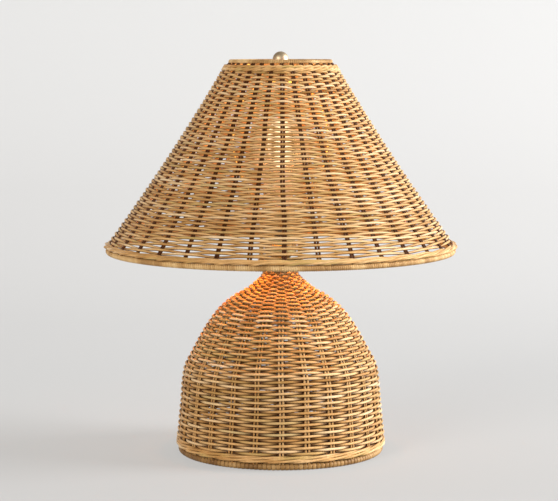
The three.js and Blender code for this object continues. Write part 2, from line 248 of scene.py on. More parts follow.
def wrapped_hoop(name, node, finish, strip, slant, sides, seed, body):
    """Turns of peel round the hoop whose winding is that node.

    strip is the width of the peel, slant is its lean along the hoop, and sides is how many
    facets go round the hoop's thickness. A turn's tone wanders from the tone of the last one.
    """
    low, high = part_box(node)
    thick = (high.z - low.z) / 2 * 0.985
    radius = high.x - thick
    centre = (high.z + low.z) / 2
    count = round(2 * math.pi * radius / strip)
    overlap, edge_tone = 1.04, 0.15
    half = math.pi * radius / count * overlap
    dome = thick * 0.05
    work = bmesh.new()
    tone = work.faces.layers.float.new("turn_tone")
    rising = [(-half, -dome * 3), (-half * 0.86, -dome), (-half * 0.3, 0.0)]
    chain = rising + [(-across, up) for across, up in reversed(rising)]
    corners = [work.verts.new((0, across, thick + up)) for across, up in chain]
    edges = [work.edges.new(pair) for pair in zip(corners, corners[1:] + corners[:1])]
    bmesh.ops.spin(
        work, geom=corners + edges, cent=(0, 0, 0), axis=(0, 1, 0), dvec=(0, 0, 0),
        angle=2 * math.pi, steps=sides, use_merge=True)
    bmesh.ops.recalc_face_normals(work, faces=work.faces)
    for face in work.faces:
        face[tone] = edge_tone if abs(face.calc_center_median().y) > half * 0.85 else 1.0
    first = list(work.verts) + list(work.edges) + list(work.faces)
    draw = random.Random(seed)
    level = 0.5
    for turn in range(count):
        copy = bmesh.ops.duplicate(work, geom=first)["geom"]
        level += (draw.random() - 0.5) * 0.8
        level = min(max(level, 0.08), 0.92)
        for part in copy:
            if isinstance(part, bmesh.types.BMFace):
                part[tone] *= level
        lean = Matrix.Rotation(slant + (draw.random() - 0.5) * 0.05, 4, "X")
        swell = Matrix.Scale(1 - draw.random() * 0.035, 4)
        round_hoop = Matrix.Rotation(2 * math.pi * turn / count, 4, "Z")
        place = round_hoop @ Matrix.Translation((radius, 0, centre)) @ lean @ swell
        bmesh.ops.transform(work, matrix=place, verts=vertices(copy))
    bmesh.ops.delete(work, geom=vertices(first), context="VERTS")
    finish_piece(name, finished_mesh(name, work, finish, 60), body, "rattan_peel", node)


foot_strip = 0.0050
wrapped_hoop("base_foot_winding", "base_foot_binding", foot_peel, foot_strip, 0.12, 14, 3, "base")

# ---------------------------------------------------------------- Base stakes
# Twenty-five pairs of upright round cane, set into the foot hoop and drawn in to the neck.
# They lie side by side and are covered by the weaver at every second row.

cane_rod = 0.0025
base_weaver = 0.0032
base_pairs = 25
base_turned = math.radians(0.5)


class Wall:
    """The outline of a woven wall, smoothed, with places given by the run along it from its foot.

    press says how closely its weaver and stakes lie one on the other.
    """

    def __init__(self, corners, press=1.0):
        self.press = press
        points = np.array(corners)
        padded = np.vstack([2 * points[0] - points[1], points, 2 * points[-1] - points[-2]])
        t = np.linspace(0, 1, 24, endpoint=False)[:, None]
        spans = [
            0.5 * (2 * b + (c - a) * t + (2 * a - 5 * b + 4 * c - d) * t**2 + (3 * b - a - 3 * c + d) * t**3)
            for a, b, c, d in zip(padded, padded[1:], padded[2:], padded[3:])]
        self.line = np.vstack([*spans, points[-1:]])
        steps = np.linalg.norm(np.diff(self.line, axis=0), axis=1)
        self.run = np.concatenate([[0], np.cumsum(steps)])
        self.length = self.run[-1]
        self.slope = np.gradient(self.line, self.run, axis=0)

    def radius(self, run):
        return np.interp(run, self.run, self.line[:, 0])

    def at(self, run, outward, turn):
        """Points at those runs, moved outward from the wall, at those angles round the axis."""
        slope_r = np.interp(run, self.run, self.slope[:, 0])
        slope_z = np.interp(run, self.run, self.slope[:, 1])
        size = np.hypot(slope_r, slope_z)
        radius = self.radius(run) + outward * slope_z / size
        height = np.interp(run, self.run, self.line[:, 1]) - outward * slope_r / size
        return np.stack([radius * np.cos(turn), radius * np.sin(turn), height + 0 * turn], axis=1)


def base_outline():
    """From the foot to the neck, in the proportions of a bottle with a straight lower wall."""
    low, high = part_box("base_weave")
    foot, top, start = high.x, high.z, low.z
    neck, shoulder, shoulder_height = foot * 0.161, foot * 0.929, top * 0.4495
    points = [(foot, start), (foot - 0.001, start + 0.014),
              ((foot + shoulder) / 2 - 0.0002, shoulder_height / 2 + 0.009), (shoulder, shoulder_height)]
    dome = [(0.175, 0.9), (0.41, 0.735), (0.583, 0.572), (0.7, 0.4), (0.767, 0.256),
            (0.833, 0.139), (0.917, 0.03), (1.0, 0.0)]
    for up, out in dome:
        points.append((neck + (shoulder - neck) * out, shoulder_height + (top - shoulder_height) * up))
    return points


base_wall = Wall(base_outline(), 0.86)


def sway(steps, size, seed, waves=5, low=0.3, high=1.3):
    """A smooth wander of about that size, the same for the same seed."""
    draw = random.Random(seed)
    total = np.zeros(len(steps))
    for _ in range(waves):
        total += np.sin(steps * draw.uniform(low, high) + draw.uniform(0, 2 * math.pi))
    return total * size / math.sqrt(waves)


def depth_of(wall, run, pairs, rod, weaver):
    """How far the weaver's middle stands from the stakes' middle: less where the stakes crowd.

    pairs is the number of pairs of stakes, and rod and weaver are the two thicknesses.
    """
    between = 2 * math.pi * wall.radius(run) / pairs
    return np.minimum((rod + weaver) / 2 * wall.press, 0.30 * between)


def cane_mesh(name, strands, thickness, finish, sides=2):
    """Round canes of that thickness along strands of points, each strand with its widths."""
    curve = bpy.data.curves.new(name, "CURVE")
    curve.dimensions = "3D"
    curve.bevel_depth = thickness / 2
    curve.bevel_resolution = sides
    curve.use_fill_caps = True
    for points, widths in strands:
        spline = curve.splines.new("POLY")
        spline.points.add(len(points) - 1)
        spline.points.foreach_set("co", np.hstack([points, np.ones((len(points), 1))]).ravel())
        spline.points.foreach_set("radius", np.broadcast_to(widths, len(points)))
    holder = bpy.data.objects.new(name, curve)
    mesh = bpy.data.meshes.new_from_object(holder)
    mesh.name = name
    bpy.data.objects.remove(holder)
    bpy.data.curves.remove(curve)
    mesh.materials.clear()
    mesh.materials.append(finish)
    return mesh


def woven(name, strands, thickness, wall, finish, inner, sides, darkened_by_shade=0.0):
    """Canes of a woven wall, with shade painted into their colour where it gathers: their inner
    stretches and their sides.

    inner and sides say how dark that painted shade is on those two, and the last argument
    paints shade over the whole cane as well. What faces the inside of the wall stays as pale as
    the cane is.
    """
    inner_from, inner_over = 0.0012, 0.0034
    mesh = cane_mesh(name, strands, thickness, finish)
    spots = np.empty(3 * len(mesh.vertices), np.float32)
    mesh.vertices.foreach_get("co", spots)
    normals = np.empty_like(spots)
    mesh.vertex_normals.foreach_get("vector", normals)
    x, y, z = spots.reshape(-1, 3).T
    nx, ny, nz = normals.reshape(-1, 3).T
    radius = np.hypot(x, y)
    face = np.interp(z, wall.line[:, 1], wall.line[:, 0])
    lean = np.interp(z, wall.line[:, 1], np.arctan2(-wall.slope[:, 0], wall.slope[:, 1]))
    inward = (face - radius) * np.cos(lean)
    outward = (nx * x + ny * y) / radius * np.cos(lean) + nz * np.sin(lean)
    # Painted shade: darker the deeper a point lies in the weave and the more it faces sideways, towards the
    # next cane.
    painted_shade = inner * np.clip((inward - inner_from) / inner_over, 0, 1)
    painted_shade += sides * np.clip(1 - 1.5 * outward, 0, 1)
    painted_shade = np.clip(painted_shade + darkened_by_shade, 0, 1) * np.clip((outward + 0.7) / 0.6, 0, 1)
    mesh.attributes.new("painted_shade", "FLOAT", "POINT").data.foreach_set("value", painted_shade)
    return mesh


def cane_material(name, length, tones, by_stake=0):
    """Round rattan core along its UV map: slow changes of tone, fibres, and shade painted into its recesses.

    length is the length of one cane. With by_stake, the tone changes from one of so many
    pairs of stakes to the next instead.
    """
    made, tree, shader = material(name)
    along = add(tree, "ShaderNodeSeparateXYZ", Vector=add(tree, "ShaderNodeUVMap").outputs[0])
    run = maths(tree, "MULTIPLY", along.outputs["X"], length)
    if by_stake:
        place = own_place(tree)
        spot = add(tree, "ShaderNodeSeparateXYZ", Vector=place)
        turn = maths(tree, "ARCTAN2", spot.outputs["Y"], spot.outputs["X"])
        which = maths(tree, "FLOOR", maths(tree, "MULTIPLY", turn, by_stake / math.pi))
        pick = add(tree, "ShaderNodeTexWhiteNoise", {"noise_dimensions": "1D"}, W=which).outputs["Value"]
        slow = maths(tree, "ADD", maths(tree, "MULTIPLY", pick, 0.35), 0.28)
    else:
        line = add(tree, "ShaderNodeCombineXYZ", X=run).outputs[0]
        wide = noise(tree, line, 1.9, 2.0, 0.7)
        slow = add(tree, "ShaderNodeMapRange", Value=wide, **{
            "From_Min": 0.30, "From_Max": 0.70}).outputs[0]
    girth = maths(tree, "MULTIPLY", along.outputs["Y"], 0.0095)
    thread = add(tree, "ShaderNodeCombineXYZ", X=run, Y=girth).outputs[0]
    middling = noise(tree, stretch(tree, thread, (14, 60, 60)), 1.0, 3.0, 0.6)
    blend = blended(tree, slow, 0.62, middling, 0.42)
    colour = ramp(tree, blend, tones)
    green = add(tree, "ShaderNodeMapRange", Value=noise(tree, stretch(tree, thread, (5, 9, 9)), 1.0), **{
        "From_Min": 0.52, "From_Max": 0.66}).outputs[0]
    colour = mix(tree, maths(tree, "MULTIPLY", green, 0.55), colour, (0.44, 0.32, 0.10))
    shade, height = grain(tree, thread, 0.7)
    dark = add(tree, "ShaderNodeMapRange", Value=shade, **{
        "From_Min": 0.30, "From_Max": 0.75, "To_Min": 0.62, "To_Max": 1.12}).outputs[0]
    streaked = add(tree, "ShaderNodeHueSaturation", Color=colour, Value=dark).outputs[0]
    # Shade is painted here: the woven wall's mark darkens the colour towards deep brown in recesses and
    # between canes.
    painted_shade = add(tree, "ShaderNodeAttribute", {"attribute_name": "painted_shade"}).outputs["Fac"]
    darkened_by_shade = mix(tree, painted_shade, streaked, (0.055, 0.014, 0.002))
    tree.links.new(darkened_by_shade, shader.inputs["Base Color"])
    tree.links.new(maths(tree, "ADD", maths(tree, "MULTIPLY", shade, 0.25), 0.36), shader.inputs["Roughness"])
    shader.inputs["Specular IOR Level"].default_value = 0.25
    shader.inputs["Specular Tint"].default_value = (1.0, 0.86, 0.66, 1)
    bump(tree, shader, height, 0.4, 0.00015)
    return made


straw_tones = [
    (0.18, (0.280, 0.130, 0.032)), (0.36, (0.480, 0.245, 0.075)), (0.52, (0.650, 0.375, 0.145)),
    (0.68, (0.780, 0.530, 0.275)), (0.88, (0.880, 0.690, 0.460))]
stake_cane = cane_material("stake cane", 0.26, straw_tones, base_pairs)


def stakes(name, wall, pairs, turned, rod, weaver, spread, hoops, finish, inner, darkened_by_shade):
    """Pairs of rods up the inside of the weaver's crowns, their ends set into the hoops.

    spread is the distance between the two rods of a pair, less where the pairs crowd.
    """
    first, last = hoops
    strands = []
    run = np.linspace(0.002, wall.length - 0.002, 44)
    depth = depth_of(wall, run, pairs, rod, weaver)
    between = 2 * math.pi * wall.radius(run) / pairs
    gap = np.minimum(spread, np.maximum(between - rod - 0.0012, 0.0006))
    for pair in range(pairs):
        angle = turned - math.pi / 2 + 2 * math.pi * pair / pairs
        lean = sway(run * 60, 0.0005, 40 + pair)
        for side in (-1, 1):
            drift = sway(run * 90, 0.00022, 400 + 2 * pair + side)
            turn = angle + (lean + drift + side * gap / 2) / wall.radius(run)
            points = wall.at(run, -(depth + weaver / 2), turn)
            ends = []
            for (radius, height), near in ((first, turn[0]), (last, turn[-1])):
                if radius:
                    ends.append([(radius * math.cos(near), radius * math.sin(near), height)])
                else:
                    ends.append(np.empty((0, 3)))
            strands.append((np.vstack([ends[0], points, ends[1]]), 1.0))
    return woven(name, strands, rod, wall, finish, inner, 0.3, darkened_by_shade)


def hoop_centre(node):
    """Radius and height of the middle of a hoop's winding."""
    low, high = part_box(node)
    return high.x - (high.z - low.z) / 2, (high.z + low.z) / 2


base_stakes = stakes(
    "base_stakes", base_wall, base_pairs, base_turned, cane_rod, base_weaver, 0.0038,
    (hoop_centre("base_foot_binding"), (0, 0)), stake_cane, 0.25, 0.0)
finish_piece("base_stakes", base_stakes, "base", "rattan_core", "base_weave")

# ---------------------------------------------------------------- Base weaver
# One long run of round cane, over one pair of stakes and behind the next, row on row.
# With an odd number of pairs each row takes the other side of every stake.

row_rise = 0.00324
points_per_pair = 6
settled_run = 0.012


def weaver(wall, pairs, turned, rod, thickness, start, stop, rise, fullness, ride, seed, before=0):
    """The weaver's spiral between two runs of the wall, and its width along it.

    fullness over 1 keeps it out on the face until it is close to a stake, and ride is how
    much further up or down the slope it lies behind the stakes than in front. before is how
    many rows stand under it. It starts at the back.
    """
    rows = (stop - start) / rise
    turns = np.linspace(0, rows, int(rows * pairs * points_per_pair) + 1)
    angle = turns * 2 * math.pi
    azimuth = turned - math.pi / 2 + 2 * math.pi * round(pairs / 2) / pairs + angle
    run = start + (stop - start) * turns / rows
    around = np.mod(angle, 2 * math.pi)
    settle = 0.00045 * (np.sin(3 * around + run * 31) + np.sin(7 * around + 1.3 + run * 17))
    fade = np.minimum(1, np.minimum(run - start, stop - run) / settled_run)
    depth = depth_of(wall, run, pairs, rod, thickness)
    behind = ((1 - np.cos(pairs * (angle / 2 + math.pi * before))) / 2) ** fullness
    push = depth * (1 - 2 * behind) + sway(angle, 0.00016, seed, 7, 1.0, 9.0)
    lean = np.interp(run, wall.run, np.arctan2(-wall.slope[:, 0], wall.slope[:, 1]))
    height = settle * fade + sway(angle, 0.00018, seed + 1, 7, 1.0, 8.0)
    height += ride * 2 * depth * np.tan(np.minimum(lean - 0.15, 0.6)) * behind * fade
    points = wall.at(run + height, push - depth - thickness / 2, azimuth)
    widths = 1 + sway(angle, 0.035, seed + 2, 6, 0.2, 3.0)
    return points, widths


band_rows, band_rise, band_foot = 2, 0.0033, 0.0013
base_start = band_rows * band_rise + band_foot + 0.0010
weaver_cane = cane_material("base weaver cane", 44.0, straw_tones)
base_strand = weaver(
    base_wall, base_pairs, base_turned, cane_rod, base_weaver, base_start, base_wall.length - 0.0016,
    row_rise, 1.7, 0.25, 11)
finish_piece(
    "base_weaver", woven("base_weaver", [base_strand], base_weaver, base_wall, weaver_cane, 1.0, 0.62),
    "base", "rattan_core")

# ---------------------------------------------------------------- Foot band
# Three canes twined round the foot, each over two pairs and behind one,
# so that two rope-like rows lock the first row of the weaver.


def band(wall, pairs, turned, thickness, start, rise, seed):
    """Three strands of a twined band, each a third of the pattern on from the last.

    At its join each row steps up to the next.
    """
    join_turn, step_from = 0.37, 0.93
    strands = []
    for strand in range(3):
        turns = np.linspace(0, band_rows, int(band_rows * pairs * points_per_pair) + 1)
        phase = 2 * math.pi * (pairs * turns + strand) / 3
        depth = depth_of(wall, start + 0 * turns, pairs, cane_rod, thickness)
        push = depth * np.clip(1.25 * np.cos(phase) + 0.45, -1.0, 1.0)
        climb = 0.34 * np.sin(phase) + np.floor(turns + 1e-9) + 0.5
        climb += np.clip((np.mod(turns, 1.0) - step_from) / (1 - step_from), 0, 1)
        climb = rise * np.minimum(climb, band_rows - 0.16)
        angle = 2 * math.pi * turns
        points = wall.at(start + climb, push - depth - thickness / 2,
                         turned - math.pi / 2 + angle + 2 * math.pi * join_turn)
        strands.append((points, 1 + sway(angle, 0.03, seed + strand)))
    return strands


band_cane = cane_material("band cane", 4.5, straw_tones)
base_band = band(base_wall, base_pairs, base_turned, base_weaver, band_foot, band_rise, 71)
finish_piece(
    "base_foot_band", woven("base_foot_band", base_band, base_weaver, base_wall, band_cane, 0.8, 0.5),
    "base", "rattan_core")

# ---------------------------------------------------------------- Board, weight and felt
# A plywood disc fills the foot hoop, with an iron weight on it and felt under it.
# The threaded pipe, its washer and two nuts clamp them and carry the socket.


def marks():
    """Soft smudges and fine scratches over a hard surface, in the object's own coordinates."""
    tree = node_group(
        "surface marks", [("Place", "NodeSocketVector", None), ("Scale", "NodeSocketFloat", 1.0)],
        [("Smudge", "NodeSocketFloat"), ("Scratch", "NodeSocketFloat")])
    source = tree.nodes.new("NodeGroupInput")
    result = tree.nodes.new("NodeGroupOutput")
    grown = add(tree, "ShaderNodeVectorMath", {"operation": "SCALE"}, i0=source.outputs["Place"])
    tree.links.new(source.outputs["Scale"], grown.inputs["Scale"])
    smudge = noise(tree, grown.outputs[0], 70, 4, 0.6)
    scratch = noise(tree, stretch(tree, grown.outputs[0], (260, 260, 2600)), 1.0, 2.0, 0.7)
    tree.links.new(smudge, result.inputs["Smudge"])
    tree.links.new(scratch, result.inputs["Scratch"])
    return tree


marks_group = marks()


def hard_finish(name, pale, dark, metal, rough, scale=1.0, relief=0.15):
    """A metal, plastic or card surface: two close tones, uneven gloss and a faint texture.

    A larger scale makes the smudges and scratches smaller.
    """
    made, tree, shader = material(name)
    node = tree.nodes.new("ShaderNodeGroup")
    node.node_tree = marks_group
    tree.links.new(own_place(tree), node.inputs["Place"])
    node.inputs["Scale"].default_value = scale
    smudge, scratch = node.outputs["Smudge"], node.outputs["Scratch"]
    tree.links.new(ramp(tree, smudge, [(0.35, dark), (0.65, pale)]), shader.inputs["Base Color"])
    shader.inputs["Metallic"].default_value = metal
    gloss = add(tree, "ShaderNodeMapRange", Value=smudge, **{"To_Min": rough * 1.3, "To_Max": rough * 0.8})
    tree.links.new(gloss.outputs[0], shader.inputs["Roughness"])
    bump(tree, shader, scratch, relief, 0.00005)
    return made


brass = hard_finish("satin brass", (0.62, 0.47, 0.22), (0.50, 0.36, 0.15), 1.0, 0.32)
zinc = hard_finish("zinc plate", (0.55, 0.56, 0.57), (0.42, 0.43, 0.45), 1.0, 0.40)
black_iron = hard_finish("black iron", (0.050, 0.050, 0.052), (0.028, 0.027, 0.027), 0.3, 0.75, 0.6, 0.6)
bakelite = hard_finish("moulded phenolic", (0.035, 0.026, 0.020), (0.022, 0.016, 0.012), 0.0, 0.38)
card = hard_finish("fibre card", (0.62, 0.55, 0.43), (0.50, 0.43, 0.32), 0.0, 0.85, 2.0, 0.3)
black_plastic = hard_finish("black plastic", (0.030, 0.028, 0.028), (0.020, 0.019, 0.019), 0.0, 0.42)
hoop_steel = hard_finish("hoop steel", (0.22, 0.20, 0.18), (0.14, 0.12, 0.10), 0.8, 0.55)


def plywood_material():
    """The board's face, its figure running along X."""
    made, tree, shader = material("birch plywood")
    place = own_place(tree)
    figure = noise(tree, stretch(tree, place, (6, 70, 400)), 1.0, 5, 0.6)
    colour = ramp(tree, figure, [(0.3, (0.40, 0.26, 0.13)), (0.7, (0.62, 0.45, 0.25))])
    tree.links.new(colour, shader.inputs["Base Color"])
    shader.inputs["Roughness"].default_value = 0.7
    bump(tree, shader, figure, 0.3, 0.0002)
    return made


def felt_material():
    """Dark wool felt, with a short nap."""
    made, tree, shader = material("wool felt")
    place = own_place(tree)
    wool = noise(tree, place, 900, 4, 0.7)
    drift = noise(tree, place, 40, 2)
    tone = blended(tree, wool, 0.6, drift, 0.4)
    colour = ramp(tree, tone, [(0.3, (0.030, 0.026, 0.022)), (0.7, (0.085, 0.076, 0.066))])
    tree.links.new(colour, shader.inputs["Base Color"])
    shader.inputs["Roughness"].default_value = 0.95
    shader.inputs["Sheen Weight"].default_value = 0.4
    bump(tree, shader, wool, 0.7, 0.0006)
    return made


def repaint(finish, *names):
    """A better finish on CAD nodes that stay as they are."""
    for name in names:
        for place in nodes[name].material_slots:
            place.material = finish


repaint(plywood_material(), "base_board")
repaint(black_iron, "base_weight")
repaint(zinc, "pipe_washer", "pipe_nut_lower", "pipe_nut_upper", "lamp_pipe")
repaint(hoop_steel, "base_foot_hoop", "shade_bottom_hoop", "shade_top_hoop")


def turned_mesh(name, profile, finish, rounding=0.0004, segments=64):
    """A lathe-turned mesh from (radius, height) corners, rounded.

    Corners that start or end on the axis make a solid, and others close up into a ring.
    """
    work = bmesh.new()
    closed = min(profile[0][0], profile[-1][0]) > 0
    row = [work.verts.new((radius, 0, height)) for radius, height in profile]
    pairs = list(zip(row, row[1:] + row[:1])) if closed else list(zip(row, row[1:]))
    for pair in pairs:
        work.edges.new(pair)
    corners = row if closed else row[1:-1]
    if rounding:
        bmesh.ops.bevel(
            work, geom=corners, offset=rounding, segments=3, profile=0.5, affect="VERTICES", material=-1)
    bmesh.ops.spin(
        work, geom=list(work.verts) + list(work.edges), cent=(0, 0, 0), axis=(0, 0, 1),
        dvec=(0, 0, 0), angle=2 * math.pi, steps=segments, use_merge=True)
    bmesh.ops.remove_doubles(work, verts=work.verts, dist=1e-6)
    bmesh.ops.recalc_face_normals(work, faces=work.faces)
    return finished_mesh(name, work, finish, 35)


def turned(name, node, profile, finish, slot, body, rounding=0.0004, segments=64, place=None):
    """A turned piece that stands for a CAD node."""
    mesh = turned_mesh(name, profile, finish, rounding, segments)
    if place is not None:
        mesh.transform(place)
    return finish_piece(name, mesh, body, slot, node)


felt_low, felt_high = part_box("base_felt")
turned("base_felt_disc", "base_felt", [
    (0, felt_low.z), (felt_high.x, felt_low.z), (felt_high.x, felt_high.z), (0, felt_high.z)],
    felt_material(), "felt", "base", 0.0003, 96)

# ---------------------------------------------------------------- Neck cap
# A spun brass cap covers the cut ends of the stakes at the neck.
# It drops over the threaded pipe and is held down by the socket above it.

cap_low, cap_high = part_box("neck_cap")
cap_radius, pipe_way = cap_high.x, 0.0053
turned("brass_neck_cap", "neck_cap", [
    (pipe_way, cap_low.z), (cap_radius - 0.0008, cap_low.z), (cap_radius, cap_low.z + 0.0012),
    (cap_radius, cap_high.z - 0.0018), (cap_radius - 0.0028, cap_high.z - 0.0008),
    (0.0115, cap_high.z - 0.0006), (0.0112, cap_high.z), (pipe_way, cap_high.z)], brass, "brass", "base")

# ---------------------------------------------------------------- Cord bushing
# A moulded plastic bushing lines the hole in the back of the base where a cord would leave.
# It is pushed in from outside until its flange sits on the weave.

bush_low, bush_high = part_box("rear_cord_bushing")
cord_way, barrel, flange = 0.0045, 0.0061, bush_high.x
flange_back = bush_high.y - 0.0021
bush_height = (bush_low.z + bush_high.z) / 2
bush_place = Matrix.Translation((0, 0, bush_height)) @ Matrix.Rotation(-math.pi / 2, 4, "X")
turned("cord_bushing", "rear_cord_bushing", [
    (cord_way, bush_low.y), (barrel, bush_low.y), (barrel, flange_back), (flange, flange_back),
    (flange, bush_high.y - 0.0009), (0.0062, bush_high.y), (cord_way, bush_high.y)],
    black_plastic, "black_plastic", "base", 0.0004, 40, bush_place)

# ---------------------------------------------------------------- Harp saddle
# A brass strip is clamped under the socket, with two prongs riveted in its ends.
# They stand up to take the harp's legs.

strip_low, strip_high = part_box("harp_saddle")
prong_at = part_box("harp_sleeve_right")
prong_x = (prong_at[0].x + prong_at[1].x) / 2
prong_radius, prong_sunk, strip_thick = 0.0018, 0.0006, 0.002
strip_top = strip_low.z + strip_thick
work = bmesh.new()
strip_size = Matrix.Diagonal((2 * strip_high.x, 2 * strip_high.y, strip_thick, 1))
strip_place = Matrix.Translation((0, 0, strip_low.z + strip_thick / 2))
bmesh.ops.create_cube(work, size=1.0, matrix=strip_place @ strip_size)
upright = [edge for edge in work.edges if abs(edge.verts[0].co.z - edge.verts[1].co.z) > 0.001]
bmesh.ops.bevel(work, geom=upright, offset=0.0045, segments=6, profile=0.5, affect="EDGES", material=-1)
rims = [edge for edge in work.edges if len(edge.link_faces) == 2 and edge.calc_face_angle() > 1.0]
bmesh.ops.bevel(work, geom=rims, offset=0.0004, segments=2, profile=0.5, affect="EDGES", material=-1)
for side in (-1, 1):
    prong = Matrix.Translation((side * prong_x, 0, (strip_top + strip_high.z - prong_sunk) / 2))
    made = bmesh.ops.create_cone(
        work, cap_ends=True, segments=24, radius1=prong_radius, radius2=prong_radius,
        depth=strip_high.z - strip_top + prong_sunk, matrix=prong)["verts"]
    tip = [edge for edge in work.edges if all(v in made for v in edge.verts)
           and min(v.co.z for v in edge.verts) > strip_high.z - 0.0001]
    bmesh.ops.bevel(work, geom=tip, offset=0.0006, segments=3, profile=0.5, affect="EDGES", material=-1)
finish_piece("saddle_strip", finished_mesh("saddle_strip", work, brass, 35), "base", "brass", "harp_saddle")

# ---------------------------------------------------------------- Lamp socket
# A spun brass cap and shell hold a card liner, the moulded switch and the screw shell.
# The shell snaps into the cap's rim, and two beads stiffen it.

socket_low, socket_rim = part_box("socket_cap")
rim, spun_wall = socket_rim.x, 0.0008
turned("socket_brass_cap", "socket_cap", [
    (pipe_way, socket_low.z), (0.0085, socket_low.z), (0.0096, socket_low.z + 0.0012),
    (rim - 0.0012, socket_low.z + 0.0078), (rim, socket_low.z + 0.0098), (rim, socket_rim.z),
    (rim - spun_wall, socket_rim.z), (rim - spun_wall, socket_low.z + 0.0100),
    (0.0084, socket_low.z + 0.0016), (pipe_way, socket_low.z + 0.0009)], brass, "brass", "base")
shell_low, shell_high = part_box("socket_shell")
shell = shell_high.x
bead = [(shell, shell_low.z)]
for height in (shell_high.z - 0.0260, shell_high.z - 0.0060):
    bead += [(shell - 0.0001, height - 0.0012), (shell + 0.0005, height), (shell - 0.0001, height + 0.0012)]
turned("socket_brass_shell", "socket_shell", [
    *bead, (shell, shell_high.z - 0.0008), (shell - 0.0003, shell_high.z),
    (shell - spun_wall, shell_high.z - 0.0003), (shell - spun_wall, shell_low.z)],
    brass, "brass", "base", 0.0003)
repaint(card, "socket_liner")
repaint(bakelite, "socket_interior")
repaint(brass, "socket_screw_shell", "socket_centre_contact")

# ---------------------------------------------------------------- Switch knob
# A fluted plastic knob is pressed on the zinc-plated steel stem of the switch,
# which leaves the front of the socket.

stem_low, stem_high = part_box("switch_stem")
stem_height = (stem_low.z + stem_high.z) / 2
forward = Matrix.Translation((0, 0, stem_height)) @ Matrix.Rotation(math.pi / 2, 4, "X")
turned("switch_rod", "switch_stem", [
    (0, -stem_high.y), (stem_high.x, -stem_high.y), (stem_high.x, -stem_low.y), (0, -stem_low.y)],
    zinc, "zinc_steel", "switch", 0.0003, 24, forward)
knob_low, knob_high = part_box("switch_knob")
knob_radius, flutes, flute_depth = knob_high.x, 12, 0.055
work = bmesh.new()
bmesh.ops.create_circle(work, cap_ends=True, segments=8 * flutes, radius=knob_radius)
for vert in work.verts:
    turn = math.atan2(vert.co.y, vert.co.x)
    vert.co *= 1 - flute_depth * (0.5 + 0.5 * math.cos(flutes * turn)) ** 0.6
length = knob_high.y - knob_low.y
front = vertices(bmesh.ops.extrude_face_region(work, geom=list(work.faces))["geom"])
bmesh.ops.translate(work, verts=front, vec=(0, 0, length))
bmesh.ops.scale(work, verts=front, vec=(0.93, 0.93, 1))
bmesh.ops.recalc_face_normals(work, faces=work.faces)
ends = [edge for edge in work.edges if len({round(v.co.z, 5) for v in edge.verts}) == 1]
bmesh.ops.bevel(work, geom=ends, offset=0.0007, segments=3, profile=0.5, affect="EDGES", material=-1)
cap_face = max(work.faces, key=lambda face: face.calc_center_median().z)
bmesh.ops.inset_region(work, faces=[cap_face], thickness=0.0012, depth=-0.0004)
work.transform(forward @ Matrix.Translation((0, 0, -knob_high.y)))
knob_mesh = finished_mesh("fluted_knob", work, black_plastic, 30)
finish_piece("fluted_knob", knob_mesh, "switch", "black_plastic", "switch_knob")

# ---------------------------------------------------------------- Bulb
# A frosted glass globe, lit warm, is cemented into its nickel-plated screw base.
# A glowing core stands for the filament, and a brass contact closes the foot.


def lit_glass():
    """Frosted glass that lets the glow through and carries a little of it."""
    made, tree, shader = material("lit frosted glass")
    place = own_place(tree)
    cloud = noise(tree, place, 45, 3)
    body = ramp(tree, cloud, [(0.3, (0.10, 0.08, 0.06)), (0.7, (0.14, 0.11, 0.08))])
    glow = ramp(tree, cloud, [(0.3, (1.0, 0.60, 0.28)), (0.7, (1.0, 0.66, 0.34))])
    tree.links.new(body, shader.inputs["Base Color"])
    tree.links.new(glow, shader.inputs["Emission Color"])
    shader.inputs["Emission Strength"].default_value = 0.40
    shader.inputs["Alpha"].default_value = 0.35
    shader.inputs["Roughness"].default_value = 0.35
    return made


def glowing():
    """The warm light of the core itself."""
    made, tree, shader = material("glowing core")
    place = own_place(tree)
    glow = ramp(tree, noise(tree, place, 60, 2), [(0.3, (1.0, 0.74, 0.46)), (0.7, (1.0, 0.82, 0.56))])
    tree.links.new(glow, shader.inputs["Emission Color"])
    shader.inputs["Base Color"].default_value = (0.9, 0.8, 0.6, 1)
    shader.inputs["Emission Strength"].default_value = 2.8
    return made


globe_low, globe_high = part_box("bulb_globe")
globe = globe_high.x
middle = globe_high.z - globe
neck, glass = 0.0127, 0.001
glass_corners = [(neck, globe_low.z), (neck + 0.0018, globe_low.z + 0.008),
                 (globe * 0.72, middle - globe * 0.92), (globe * 0.92, middle - globe * 0.46)]
for step in range(11):
    angle = step / 10 * math.pi / 2
    glass_corners.append((globe * math.cos(angle), middle + globe * math.sin(angle)))
outer_line = [tuple(point) for point in Wall(glass_corners).line[::6]]
outer_line[-1] = (0, globe_high.z)
inner_line = [(max(radius - glass, 0), height - glass) for radius, height in outer_line]
inner_line[0] = (neck - glass, globe_low.z)
turned("frosted_globe", "bulb_globe", inner_line[::-1] + outer_line, lit_glass(), "frosted_glass", "bulb", 0)
core_radius, core_height, core_middle = 0.015, 0.056, middle + 0.004
core_line = []
for step in range(17):
    angle = (step / 16 - 0.5) * math.pi
    round_radius = core_radius * max(math.cos(angle), 0) ** 0.8
    core_line.append((round_radius if 0 < step < 16 else 0, core_middle + core_height / 2 * math.sin(angle)))
core_mesh = turned_mesh("glowing_core", core_line, glowing(), 0, 40)
finish_piece("glowing_core", core_mesh, "bulb", "frosted_glass")
base_low, base_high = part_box("bulb_screw_base")
threads = base_high.x
thread_line = [(0, base_low.z), (threads - 0.0035, base_low.z), (threads - 0.0006, base_low.z + 0.0030)]
thread_depth, thread_pitch = 0.0009, 0.0036
for step in range(30):
    height = base_low.z + 0.0035 + step / 6 * thread_pitch
    thread_line.append((threads - thread_depth * (1 - math.cos(step / 6 * 2 * math.pi)) / 2, height))
